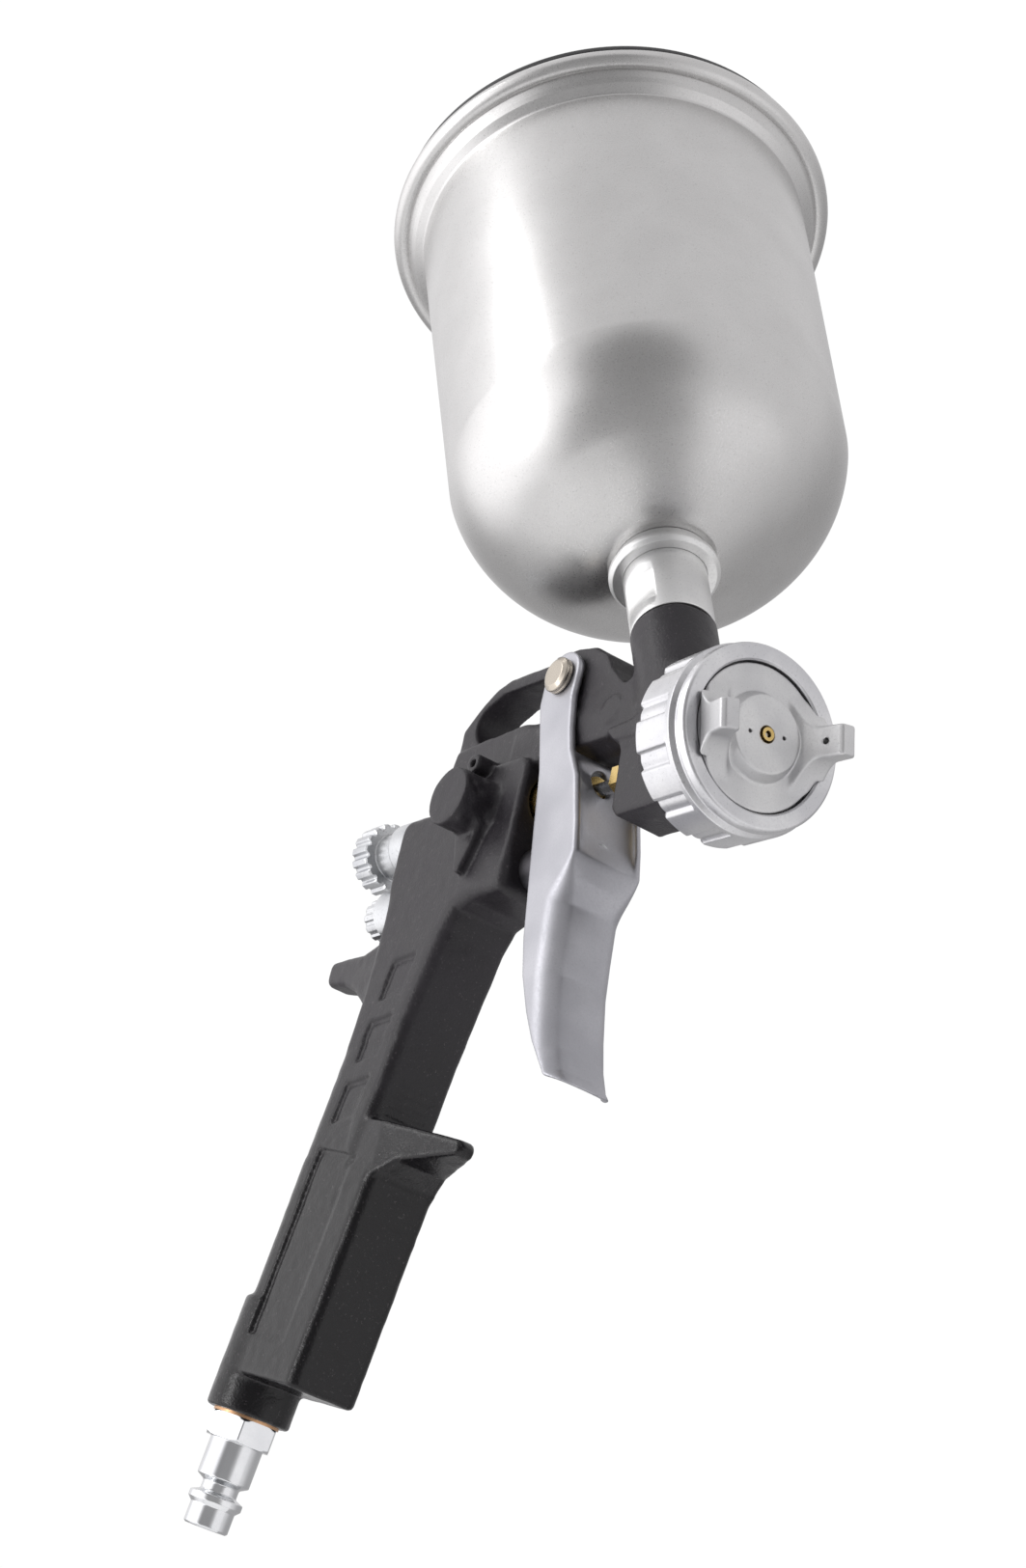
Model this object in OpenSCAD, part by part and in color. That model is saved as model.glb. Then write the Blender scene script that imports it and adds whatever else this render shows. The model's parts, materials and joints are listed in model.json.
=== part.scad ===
// Gravity-feed HVLP spray gun with an aluminium paint cup on top.
// +X is the spray direction, +Z is up and +Y is the gun's left. The spray axis is the X axis, and the
// origin is the centre of the air cap's face. Millimetres.

/* [Cup] */
// Outer radius of the cup's wall
cup_r = 44.2; // [42:0.1:45]
// Outer radius of the rolled rim
rim_r = 50.7; // [49.5:0.1:52]
// Lean of the cup back from upright, in degrees
cup_lean = 27.9; // [24:0.1:30]
// Distance of the rim plane from the spray axis, along the cup's axis
rim_l = 179; // [172:0.5:186]
// Radius of the neck tube under the cup
neck_r = 9.2; // [8.8:0.1:9.4]

/* [Grip] */
// Lean of the grip's air channel back from upright, in degrees
grip_lean = 14.1; // [12:0.1:16]
// Width of the grip and of the body's flanks
flank_w = 18; // [17.6:0.2:18.4]
// Distance down the air channel from the spray axis to the inlet's face
inlet_l = 136.5; // [135:0.5:138]

/* [Head] */
// Radius of the air cap's disc
cap_r = 15.8; // [15.5:0.1:15.9]
// Outer radius of the retaining ring
ring_r = 20.6; // [20.2:0.1:21]
// Lobes round the retaining ring
ring_lobes = 12; // [10:1:14]
// Turn of the air cap's horns from level, in degrees
horn_turn = 13; // [0:1:20]

/* [Trigger] */
// Outer width of the trigger's channel
trigger_w = 18; // [17.8:0.1:18.4]
// Thickness of the trigger's sheet
sheet = 1.4; // [1.2:0.1:1.5]

/* [Air inlet] */
// Radius of the quick-connect plug's tip
plug_r = 5; // [4.9:0.05:5.1]
// Width across flats of the plug's hexagon
hex_af = 14; // [13.5:0.5:14.5]

/* [Hidden] */
$fn = 64;
eps = 0.01;

// Gap between two faces that only meet, and radial clearance of a running fit
gap = 0.3;
run = 0.05;

// Cup axis: where it crosses the spray axis's level
cup_x = -22.1;
// Air channel down the grip: where it crosses the spray axis's level
grip_x = -103.7;
// Air valve's axis: its height
valve_z = -16;
// Trigger pivot
pivot = [-65.4, 25.5];
pin_r = 2.5;

// Radius of the air valve's chamber
chamber_r = 5.4;

// Needle radius, and where the needle's collar and the valve's stem meet the trigger's web
needle_r = 1.5;
collar_front = -55.7;
stem_front = -48.6;

// Stations along the cup's axis
body_neck_l = 38;
collar_l = 57;
cup_floor_l = 60.5;
seat_l = rim_l - 8;
wall = 1.4;

// Stations along X
ring_rear = -15.5;
spigot_rear = -18.5;
spigot_r = 17.6;
head_rear = -39;
front_face = -71.5;
rear_face = -116.8;

// Points of an arc of radius r about c, from angle a0 to a1
function arc(c, r, a0, a1, n = 8) =
    [for (i = [0:n]) c + r * [cos(a0 + (a1 - a0) * i / n), sin(a0 + (a1 - a0) * i / n)]];

// A plate whose outline is drawn in X and Z, of half-width w about Y = 0
module plate(points, w) {
    rotate([90, 0, 0]) linear_extrude(height = 2 * w, center = true) polygon(points);
}

// Children with their Z axis laid along +X, starting at x
module along_x(x) {
    translate([x, 0, 0]) rotate([0, 90, 0]) children();
}

// A tube along X from x0 to x1, at height z
module tube_x(x0, x1, r_out, r_in, z = 0) {
    translate([x0, 0, z]) rotate([0, 90, 0]) difference() {
        cylinder(h = x1 - x0, r = r_out);
        translate([0, 0, -1]) cylinder(h = x1 - x0 + 2, r = r_in);
    }
}

// A rod along X from x0 to x1, at offset y and height z
module rod_x(x0, x1, r, z = 0, y = 0) {
    translate([x0, y, z]) rotate([0, 90, 0]) cylinder(h = x1 - x0, r = r);
}

// A hexagonal bar along X from x0 to x1
module hex_x(x0, x1, af, z = 0) {
    translate([x0, 0, z]) rotate([0, 90, 0]) cylinder(h = x1 - x0, r = af / sqrt(3), $fn = 6);
}

// Children in the cup's frame: Z up the cup's axis, starting at its crossing with the spray axis
module on_cup() {
    translate([cup_x, 0, 0]) rotate([0, -cup_lean, 0]) children();
}

// Children in the grip's frame: Z down the air channel, X towards the fingers
module on_grip() {
    translate([grip_x, 0, 0]) rotate([0, 180 + grip_lean, 0]) mirror([1, 0, 0]) children();
}

// Section of the grip: back rounded at radius rb, front corners at radius rf
module grip_section(x0, x1, w, rb, rf) {
    translate([x0 + rb, -w]) square([x1 - rf - x0 - rb, 2 * w]);
    translate([x0, rb - w]) square([rb + eps, 2 * (w - rb)]);
    translate([x1 - rf - eps, rf - w]) square([rf + eps, 2 * (w - rf)]);
    for (side = [-1, 1]) {
        translate([x0 + rb, side * (w - rb)]) circle(r = rb);
        translate([x1 - rf, side * (w - rf)]) circle(r = rf);
    }
}

// Children with their Z axis along the trigger's pivot, towards the gun's right
module on_pivot() {
    translate([pivot[0], 0, pivot[1]]) rotate([90, 0, 0]) children();
}

// Wire spring along X from x0 to x1: coils turns at radius r, of wire radius w
module coil_x(x0, x1, r, w, coils, z = 0, sides = 8, steps = 14) {
    n = coils * steps;
    ring = function (i, j) let (
        turn = 360 * i / steps,
        x = x0 + w + (x1 - x0 - 2 * w) * i / n,
        rr = r + w * cos(360 * j / sides)
    ) [x + w * sin(360 * j / sides), rr * cos(turn), z + rr * sin(turn)];
    points = [for (i = [0:n], j = [0:sides - 1]) ring(i, j)];
    walls = [for (i = [0:n - 1], j = [0:sides - 1]) let (k = (j + 1) % sides)
        each [[i * sides + j, i * sides + k, (i + 1) * sides + k],
              [i * sides + j, (i + 1) * sides + k, (i + 1) * sides + j]]];
    ends = [[for (j = [sides - 1:-1:0]) j], [for (j = [0:sides - 1]) n * sides + j]];
    polyhedron(points = points, faces = concat(walls, ends));
}

// ---- Body casting ----

// Upper block between the rear knobs and the trigger, with a stepped underside over the fingers
module block() {
    plate(concat(
        arc([front_face - 4, 5], 4, 90, 0, 6),
        arc([front_face - 2.5, -20.5], 2.5, 0, -90, 6),
        [[-83, -23], [-87.6, -24.6], [-90.4, -29.4], [-92.8, -37], [-96, -46], [-98.4, -54], [-119.6, -54], [-117.4, -40]],
        [[rear_face, -28]],
        arc([rear_face + 3, -1.4], 3, 180, 90, 6),
        [[-104, 1.6], [-98, 9]]
    ), flank_w / 2);
    plate([[-72, 2], [-72, 13], [-80, 20], [-106, 18], [-108, 8], [-108, -2]], 6.6);
}

// Hanging loop behind the pivot ear
module arch() {
    difference() {
        plate([[-107, -2], [-108, 14], [-108, 24], [-102.5, 29.2], [-97.5, 32.4], [-92.7, 33.7], [-62, 33.7],
               [-60, 10]], 5);
        plate(concat(
            arc([-97.6, 23.8], 5, 245, 110, 8),
            [[-94.5, 30.3], [-77, 30.3], [-73.6, 27], [-76, 19], [-92, 18.4]]
        ), 10);
    }
}

// Barrel and pivot ear between the arch and the head
module barrel() {
    rod_x(-82, -24, 7, 13.6);
    plate([[-73, 8], [-46, 8], [-40, 4], [-24, 4], [-24, 20.6], [-44.5, 20.6], [-50.2, 25.4], [-53.2, 29.4],
           [-59, 32.6], [-66, 33.7], [-74, 33.7]], 7);
}

// Head block behind the retaining ring, and the spigot that the ring screws on
module head() {
    plate([[head_rear - 2, 7], [head_rear, -10.4], [head_rear + 2, -12.4], [-17, -12.4], [-17, 12], [-30, 15]], 6.4);
    rod_x(spigot_rear, -4.5, spigot_r);
}

// Tongue with a rounded end: a side outline cut to a plan of half-width w that narrows from root_x to a
// round end at tip_x
module tongue(points, root_x, tip_x, w, tip_r) {
    dir = tip_x > root_x ? 1 : -1;
    intersection() {
        plate(points, w);
        translate([0, 0, -150]) linear_extrude(height = 150) {
            translate([tip_x - dir * tip_r, 0]) circle(r = tip_r);
            polygon([[root_x - dir * 14, -w], [root_x - dir * 14, w], [root_x, w],
                     [tip_x - dir * tip_r, tip_r], [tip_x - dir * tip_r, -tip_r], [root_x, -w]]);
        }
    }
}

// Grip: upper length, the deeper lower length under the finger rest, and the round inlet boss
module grip() {
    w = flank_w / 2 - 0.2;
    on_grip() {
        translate([0, 0, 28]) linear_extrude(height = 60) grip_section(-5.6, 18.6, w, 7, 3);
        translate([0, 0, 79]) linear_extrude(height = 49.5) grip_section(-5.9, 28.4, w, 7, 3);
        translate([0, 0, 112]) cylinder(h = inlet_l - 112, r = 9.4);
    }
    // finger rest
    tongue([[-108, -69.5], [-84, -75.4], [-74.5, -77.8], [-72.9, -79.8], [-75, -81.2], [-90, -82], [-96, -85],
        [-108, -88]], -96, -72.9, 8.4, 2.4);
    // thumb hook
    tongue(concat([[-112, -25.5], [-126, -27]], arc([-142, -28], 3, 80, 265, 8), [[-134, -32.6],
        [-127, -36], [-119.5, -41.5], [-112, -44]]), -118, -145, 7, 3.6);
}

// Blanked side boss on the gun's right flank, with its rib
module side_boss() {
    translate([-86, -8, -2]) rotate([90, 0, 0]) cylinder(h = 10, r = 6.8);
    translate([-86, -8.5, -2]) rotate([90, 0, 0]) linear_extrude(height = 5, center = true)
        polygon([[-5, 0], [5, 0], [3, -15], [0, -15]]);
}

module gun_body() {
    color("#242328") difference() {
        union() {
            block();
            arch();
            barrel();
            head();
            grip();
            side_boss();
            on_cup() translate([0, 0, 4]) cylinder(h = body_neck_l - 4, r = neck_r + 0.2);
        }
        // air: inlet thread, channel up the grip, valve chamber, riser and barrel channel
        on_grip() translate([0, 0, inlet_l - 12]) cylinder(h = 13, r = 5.6);
        on_grip() translate([0, 0, 13]) cylinder(h = inlet_l - 20, r = 3.2);
        rod_x(-130, -82, chamber_r, valve_z);
        rod_x(-83, front_face + 2, 4.25, valve_z);
        translate([-88, 4.6, valve_z]) cylinder(h = 30, r = 1.6);
        rod_x(-90, -40, 2.6, 14.4, 3.4);
        translate([-41, 4, 14.4]) rotate([0, 104, 11]) cylinder(h = 29, r = 1.5);
        // air chamber in the spigot, round the fluid nozzle
        difference() {
            rod_x(-14, 0, 12.8);
            rod_x(-15, -8.6, 8);
        }
        // fluid: cup neck thread, channel down to the nozzle, and the nozzle's socket
        on_cup() translate([0, 0, 22]) cylinder(h = body_neck_l, r = 6.6);
        on_cup() cylinder(h = 30, r = 4.2);
        rod_x(-36, 0, 3.4);
        rod_x(-13, 0, 5.6);
        // needle: packing socket in the head, collar and spring bores in the block
        rod_x(head_rear - 4, -33, 4.1);
        rod_x(-140, front_face + 3, 2.4);
        rod_x(-81, front_face + 3, 6.2);
        rod_x(-130, -98, 5.6);
        on_pivot() cylinder(h = 40, r = pin_r + run, center = true);
    }
}

// ---- Air inlet ----

module air_plug() {
    color("#d6d8da") on_grip() difference() {
        union() {
            translate([0, 0, inlet_l - 9]) cylinder(h = 10, r = 5.55);
            translate([0, 0, inlet_l + 0.6]) cylinder(h = 5.4, r = hex_af / sqrt(3), $fn = 6);
            translate([0, 0, inlet_l]) rotate_extrude() polygon([
                [0, 5], [5.9, 5], [5.9, 14.4], [4.1, 15.4], [4.1, 17.4], [6, 18.2], [6, 19.6],
                [plug_r, 20.6], [plug_r, 24.9], [4.6, 25.3], [0, 25.3]]);
        }
        translate([0, 0, inlet_l - 10]) cylinder(h = 40, r = 3.3);
    }
}

module inlet_seal() {
    color("#b8794a") on_grip() translate([0, 0, inlet_l]) difference() {
        cylinder(h = 0.6, r = 7.4);
        translate([0, 0, -1]) cylinder(h = 3, r = 5.6);
    }
}

// ---- Cup, from the lid down to the neck ----

// Outer line of the cup from the outlet up to the lid's seat, for an inset of w
function cup_line(w) = concat(
    [[neck_r + 3 - w, cup_floor_l + w]],
    [[neck_r + 8, cup_floor_l + 1.2 + w]],
    arc([cup_r - 30, cup_floor_l + 34.5], 30 - w, -62, 0, 10),
    [[cup_r - w, seat_l]]
);

module cup() {
    color("#b9bbbd") on_cup() rotate_extrude() polygon(concat(
        [[7.2, cup_floor_l]],
        cup_line(0),
        [[47.2, seat_l], [47.2, rim_l - 2.4]],
        arc([rim_r - 2.4, rim_l - 2.4], 2.4, -120, 90, 12),
        [[46.2, rim_l], [45.8, rim_l - 0.6], [45.8, seat_l + wall], [cup_r - wall, seat_l + wall]],
        [for (i = [len(cup_line(wall)) - 1:-1:0]) cup_line(wall)[i]],
        [[7.2, cup_floor_l + wall]]
    ));
}

module cup_gasket() {
    color("#e8e6df") on_cup() translate([0, 0, cup_floor_l + wall]) difference() {
        cylinder(h = 1, r = 10.5);
        translate([0, 0, -1]) cylinder(h = 3, r = 7.2);
    }
}

// Collar pressed on the neck tube, with a lip under the cup's floor
module cup_collar() {
    color("#c9cbcc") on_cup() rotate_extrude() polygon([
        [neck_r + run, collar_l - 1.5], [neck_r + 2.4, collar_l - 1.5], [neck_r + 3, collar_l - 0.6],
        [neck_r + 3, collar_l + 0.6], [neck_r + 1.6, collar_l + 1.5], [neck_r + 1.6, cup_floor_l],
        [neck_r + run, cup_floor_l]]);
}

// Neck tube with its thread, wrench flats, and the flange that clamps the cup's floor
module cup_neck() {
    color("#c2c4c6") on_cup() difference() {
        union() {
            translate([0, 0, 24]) cylinder(h = 16, r = 6.55);
            translate([0, 0, body_neck_l + gap]) cylinder(h = cup_floor_l - body_neck_l - gap, r = neck_r);
            translate([0, 0, cup_floor_l - 1]) cylinder(h = 4, r = 7.15);
            translate([0, 0, cup_floor_l + wall + 1]) cylinder(h = 2, r = 10);
        }
        translate([0, 0, 20]) cylinder(h = 60, r = 4.6);
        translate([0, 0, cup_floor_l - 4]) cylinder(h = 20, r = 5.8);
        for (side = [-1, 1]) translate([-6, side > 0 ? neck_r - 1.2 : -neck_r - 3.8, 41.5]) cube([12, 5, 8.5]);
    }
}

// Paint strainer standing in the cup's outlet
module cup_strainer() {
    color("#e4e8ea") on_cup() translate([0, 0, cup_floor_l - 3.9]) difference() {
        union() {
            cylinder(h = 24, r = 5.5);
            translate([0, 0, 8.4]) cylinder(h = 1.2, r = 9);
        }
        translate([0, 0, -1]) cylinder(h = 23.8, r = 4.6);
        for (z = [12, 15.5, 19], a = [0:60:300])
            rotate([0, 0, a]) translate([3, -1.5, z]) cube([4, 3, 2.2]);
    }
}

// Dished push-in lid: skirt in the mouth, flange on the rim, raised vent spigot
module cup_lid() {
    color("#1d1d1f") on_cup() translate([0, 0, rim_l]) difference() {
        rotate_extrude() polygon([
            [0, 1.2], [38, 1.2], [40.2, -4.6], [43.2, -4.6], [43.2, 0.4], [rim_r - 1.5, 0.4],
            [rim_r - 1.5, 2.2], [43, 3], [40, 3], [12, 4.2], [6, 4.4], [6, 8], [0, 8]]);
        translate([0, 0, -2]) cylinder(h = 20, r = 1.5);
    }
}

module lid_seal() {
    color("#8c2f26") on_cup() translate([0, 0, rim_l - 3.4]) difference() {
        cylinder(h = 2.2, r = 45.3);
        translate([0, 0, -1]) cylinder(h = 5, r = 43.2);
    }
}

// Drip cap turned on the lid's spigot to open or close the vent
module lid_vent_cap() {
    color("#e9e7e1") on_cup() translate([0, 0, rim_l]) difference() {
        translate([0, 0, 5.2]) cylinder(h = 5.2, r = 8.6);
        translate([0, 0, 4]) cylinder(h = 4.3, r = 6 + run);
        translate([3.6, 0, 4]) cylinder(h = 10, r = 0.8);
        for (a = [0:45:315]) rotate([0, 0, a]) translate([10.2, 0, 4]) cylinder(h = 8, r = 2.4);
    }
}

// ---- Head ----

module cap_ring() {
    lobe_a = 360 / ring_lobes;
    color("#d2d3d4") difference() {
        rotate([0, 90, 0]) rotate_extrude() polygon(concat(
            [[spigot_r + run, ring_rear], [ring_r - 0.9, ring_rear], [ring_r - 0.3, ring_rear + 0.8], [ring_r, -3.4],
             [ring_r - 1, -2.4], [ring_r - 1, -1.2]],
            arc([ring_r - 2, 0], 1, -20, 110, 6),
            [[cap_r + 0.35, 0.2], [cap_r + 0.35, -1.8], [spigot_r + run, -1.8]]
        ));
        for (i = [0:ring_lobes - 1]) rotate([lobe_a * (i + 0.5), 0, 0])
            translate([ring_rear - 1, 0, ring_r + 2.1]) rotate([0, 90, 0]) cylinder(h = 11.6, r = 2.9);
    }
}

// Side outline of one horn: distance from the axis against reach forward
horn_line = [[7, -0.5], [9.4, 1.8], [12.8, 10.2], [13.6, 11.2], [16.4, 10.8], [17.4, 9.6], [15.6, -0.5]];

module air_cap() {
    color("#cfd0d0") rotate([horn_turn, 0, 0]) difference() {
        union() {
            rod_x(-2.2, 0, cap_r);
            rod_x(-4.2, -2.1, spigot_r - 0.2);
            along_x(-1) cylinder(h = 4, r1 = 9.6, r2 = 8);
            for (side = [-1, 1]) rotate([90 - 90 * side, 0, 0]) translate([0, 0, -3.6]) linear_extrude(height = 7.2)
                polygon([for (p = horn_line) [p[1], p[0]]]);
        }
        rod_x(-5, 5, 1.85);
        rod_x(-5, 0.6, 6.6);
        rod_x(-5, -1.4, 14.8);
        for (side = [-1, 1]) {
            rod_x(-3, 5, 0.4, 0, 4.4 * side);
            rod_x(-5, 6.4, 0.9, 0, 14 * side);
            translate([6.4, 14.4 * side, 0]) rotate([90 * side, 0, 0]) rotate([0, 12, 0])
                cylinder(h = 6, r = 0.7);
        }
    }
}

// Brass fluid nozzle: thread in the head, hexagon, seat cone and tip
module fluid_nozzle() {
    color("#c9a24c") difference() {
        union() {
            rod_x(-12.4, -7, 5.55);
            hex_x(-7, -3.4, 11.6);
            along_x(-3.4) cylinder(h = 3.6, r1 = 5.2, r2 = 2.6);
            rod_x(0, 3.3, 1.45);
        }
        rod_x(-14, -2.2, 2.6);
        along_x(-2.2 - eps) cylinder(h = 3.6, r1 = 2.6, r2 = 0.75);
        rod_x(1.2, 5, 0.75);
    }
}

module nozzle_gasket() {
    color("#e8e6df") tube_x(-13, -12.4, 5.5, 3);
}

// Ring with air holes between the spigot and the nozzle's hexagon
module air_distributor() {
    color("#9fa2a5") difference() {
        tube_x(-8.4, -7.2, 12.7, 6);
        for (a = [0:40:320]) rotate([a, 0, 0]) rod_x(-9, -6, 1, 9.6);
    }
}

// ---- Fluid needle ----

module needle() {
    color("#c8cacc") rotate([0, 90, 0]) rotate_extrude() polygon([
        [0, -118.6], [0.9, -118.6], [0.9, -104], [2.1, -104], [2.1, -101], [needle_r, -101], [needle_r, -7],
        [0.7, 1], [0.45, 2.6], [0, 2.6]]);
}

// Brass sleeve clamped on the needle, pushed back by the trigger
module needle_collar() {
    color("#c4983f") difference() {
        union() {
            rod_x(-72, collar_front, 3.2);
            rod_x(-75, -69, 5.8);
        }
        rod_x(-80, -40, needle_r);
    }
}

module needle_packing() {
    color("#f0efe9") tube_x(-36.4, -33.2, 4.05, needle_r + run);
}

module packing_nut() {
    color("#c9a24c") difference() {
        union() {
            rod_x(head_rear - 3, -36.6, 4.05);
            hex_x(head_rear - 7.4, head_rear - 2.6, 7);
        }
        rod_x(-60, -30, needle_r + 0.1);
    }
}

module needle_spring() {
    color("#bfc1c3") coil_x(-118.4, -104.3, 2.6, 0.4, 6);
}

// Sleeve that doesn't turn, between the needle's spring and the knob
module spring_seat() {
    color("#aaa9a4") tube_x(-124.8, -118.7, 4.2, 1.1);
}

module knob_bush() {
    color("#cfd0d2") difference() {
        union() {
            rod_x(-118, -108, 5.55);
            rod_x(-126, rear_face - 0.1, 6.4);
        }
        rod_x(-130, -100, 4.3);
    }
}

// Knurled knob with a stem that screws into the bush
module fluid_knob() {
    teeth = 17;
    color("#c9cacb") difference() {
        union() {
            rod_x(-138, -132.4, 8);
            along_x(-139.2) cylinder(h = 1.2, r1 = 6.4, r2 = 8);
            rod_x(-133, -126.3, 5.4);
            rod_x(-127, -125.1, 4.2);
        }
        rod_x(-134, -120, 1.4);
        for (i = [0:teeth - 1]) rotate([360 * i / teeth, 0, 0]) rod_x(-142, -133, 0.8, 8.3);
    }
}

// ---- Air valve ----

module valve_seat() {
    color("#c9a24c") tube_x(-96.6, -92.6, chamber_r - run, 3.4, valve_z);
}

module valve_guide() {
    color("#3a3a3d") difference() {
        union() {
            rod_x(-79, front_face + 1, 4.2, valve_z);
            rod_x(front_face + 0.1, front_face + 4.6, 5.2, valve_z);
        }
        rod_x(-90, -60, 2 + run, valve_z);
    }
}

module valve_packing() {
    color("#26282a") tube_x(-81.8, -79.2, 4.2, 2 + run, valve_z);
}

module valve_stem() {
    color("#c8cacc") {
        rod_x(-112, stem_front, 2, valve_z);
        rod_x(-101.6, -99.8, 4.7, valve_z);
    }
}

module valve_disc() {
    color("#26282a") tube_x(-99.8, -97, 4.5, 2, valve_z);
}

module valve_spring() {
    color("#bfc1c3") coil_x(-113.2, -101.9, 3.3, 0.5, 4, valve_z);
}

// Bush that closes the valve's chamber and guides the stem's end
module valve_bush() {
    color("#a9abad") difference() {
        union() {
            rod_x(-118, -113.5, chamber_r - run, valve_z);
            rod_x(-126, rear_face - 0.7, 6, valve_z);
        }
        rod_x(-130, -110, 2 + run, valve_z);
        rod_x(-130, -120.6, 3.4, valve_z);
    }
}

module bush_seal() {
    color("#26282a") tube_x(rear_face - 0.6, rear_face, 6.6, chamber_r, valve_z);
}

// Small air knob with a fluted side and a domed end
module air_knob() {
    color("#b4b6b8") difference() {
        union() {
            rod_x(-131.4, -126.3, 5, valve_z);
            translate([-131.4, 0, valve_z]) rotate([0, -90, 0]) cylinder(h = 1, r1 = 5, r2 = 3.8);
            rod_x(-127, -121, 3.35, valve_z);
        }
        for (i = [0:11]) translate([0, 0, valve_z]) rotate([30 * i, 0, 0]) rod_x(-134, -127, 0.6, 5.2);
    }
}

// ---- Trigger ----

// Rear and front edges of the trigger's side plates, from the pivot down
trigger_rear = [[-72, 20], [-66.2, 3], [-63.1, -11.4], [-59.5, -27], [-57, -38], [-54, -47], [-49.4, -56],
    [-45, -63], [-38.8, -71.5]];
trigger_front = [[-59.6, 20], [-57.6, 12], [-55.6, 6.5], [-51.2, -0.4], [-46.8, -12.7], [-44.9, -19.5],
    [-45.4, -25], [-46.4, -30.5], [-45.4, -39], [-44.2, -47], [-41.4, -57], [-39, -64], [-36.2, -69.5], [-32.6, -73.2]];

function reversed(points) = [for (i = [len(points) - 1:-1:0]) points[i]];

// Stamped channel: two arms astride the barrel, joined by a front web below it
module trigger() {
    inset = [for (i = [3:len(trigger_front) - 1]) trigger_front[i] - [sheet + 0.2, 0]];
    color("#b7b9bc") difference() {
        plate(concat(arc(pivot + [-0.4, 0], 6.3, 10, 170, 10), trigger_rear, reversed(trigger_front)), trigger_w / 2);
        plate(concat([[-90, 40], [-40, 40], [-40, 6.2], [-57, 6.2]], inset, [[-33, -90], [-90, -90]]),
            trigger_w / 2 - sheet);
        // slot for the needle in the front web, as tall as the web drops on the pull
        for (z = [-0.1, 2.4]) rod_x(-60, -40, 2, z);
        translate([-60, -2, -0.1]) cube([20, 4, 2.5]);
        on_pivot() cylinder(h = 40, r = pin_r + 0.1, center = true);
    }
}

// Domed pin, pushed in from the gun's right
module trigger_pin() {
    color("#c7bfb0") on_pivot() difference() {
        union() {
            translate([0, 0, -8.8]) cylinder(h = 8.8 + trigger_w / 2 + gap + eps, r = pin_r);
            translate([0, 0, trigger_w / 2 + gap]) cylinder(h = 1.6, r = 4.1);
            translate([0, 0, trigger_w / 2 + gap + 1.6]) cylinder(h = 0.6, r1 = 4.1, r2 = 3.2);
        }
        translate([0, 0, -10]) cylinder(h = 8, r = 1.6 + run);
    }
}

// Slotted screw that holds the pin from the gun's left
module pin_screw() {
    color("#bfb7a8") on_pivot() mirror([0, 0, 1]) difference() {
        union() {
            translate([0, 0, 3]) cylinder(h = 6.4, r = 1.6);
            translate([0, 0, trigger_w / 2 + gap]) cylinder(h = 1.8, r = 4.1);
        }
        translate([-5, -0.5, trigger_w / 2 + gap + 1]) cube([10, 1, 2]);
    }
}

gun_body();
air_plug();
inlet_seal();
cup();
cup_collar();
cup_gasket();
cup_neck();
cup_strainer();
cup_lid();
lid_seal();
lid_vent_cap();
cap_ring();
air_cap();
fluid_nozzle();
nozzle_gasket();
air_distributor();
needle();
needle_collar();
needle_packing();
packing_nut();
needle_spring();
spring_seat();
knob_bush();
fluid_knob();
valve_seat();
valve_guide();
valve_packing();
valve_stem();
valve_disc();
valve_spring();
valve_bush();
bush_seal();
air_knob();
trigger();
trigger_pin();
pin_screw();
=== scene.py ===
import json
import math
import bmesh
import bpy
import numpy as np
from mathutils import Matrix, Vector


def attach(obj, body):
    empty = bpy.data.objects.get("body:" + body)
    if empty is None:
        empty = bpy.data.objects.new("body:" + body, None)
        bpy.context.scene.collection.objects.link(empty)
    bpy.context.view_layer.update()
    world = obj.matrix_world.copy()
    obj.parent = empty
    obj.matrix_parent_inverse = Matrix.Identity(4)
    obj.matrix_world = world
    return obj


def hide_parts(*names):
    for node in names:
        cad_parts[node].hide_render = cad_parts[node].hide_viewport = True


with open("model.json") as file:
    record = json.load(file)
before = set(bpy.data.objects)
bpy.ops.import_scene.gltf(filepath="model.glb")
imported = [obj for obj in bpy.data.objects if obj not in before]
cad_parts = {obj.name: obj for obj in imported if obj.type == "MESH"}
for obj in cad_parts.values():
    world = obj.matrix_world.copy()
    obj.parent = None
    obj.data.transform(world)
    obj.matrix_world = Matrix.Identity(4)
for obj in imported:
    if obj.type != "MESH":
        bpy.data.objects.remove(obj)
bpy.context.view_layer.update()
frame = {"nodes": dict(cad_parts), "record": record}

MM = 0.001
BODY_STEP = 0.42     # grid for the body casting
SHEET_STEP = 0.3    # grid for the trigger
CAP_STEP = 0.22     # grid for the air cap
TURN_STEPS = 192      # steps round a turned piece
FILLET_STEPS, GUARD = 3, 0.12               # steps in a rounded corner, and how far its guard rows lie
FLUSH = 0.5                                 # fillet between shapes whose faces lie nearly in one plane
GAP = 0.05                                  # room left between pieces that meet

# ---- The part's own sizes, in mm and degrees. Each _L is a place along a leaning axis ----
CUP_X, CUP_LEAN = -22.1, 27.9               # the cup's axis crosses the spray axis here
CUP_R, RIM_R, DOME_R, DOME_IN = 44.2, 50.67, 30.0, 29.6
RIM_L, FLOOR_L, COLLAR_L, BODY_NECK_L = 179.0, 60.5, 57.0, 38.0
SEAT_L = RIM_L - 8                          # the step that the lid's seal sits on
WALL, MOUTH_R, DRAIN_R = 1.4, 45.8, 7.2
NECK_R, FLAT_LO, FLAT_HI = 9.2, 41.6, 49.9
GRIP_X, GRIP_LEAN, INLET_L = -103.7, 14.1, 136.5
FLANK, STRAP, EAR, HEAD = 9.0, 5.0, 6.7, 6.4    # half thicknesses of the casting
VALVE_Z = -16.0                             # height of the air valve's axis
BOSS, CORED = (-86, -2), (-87.2, 8.2)       # side bosses, as (x, z)
SPIGOT_R, RING_R, RING_BACK, LOBES = 17.6, 20.6, -15.5, 12
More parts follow.
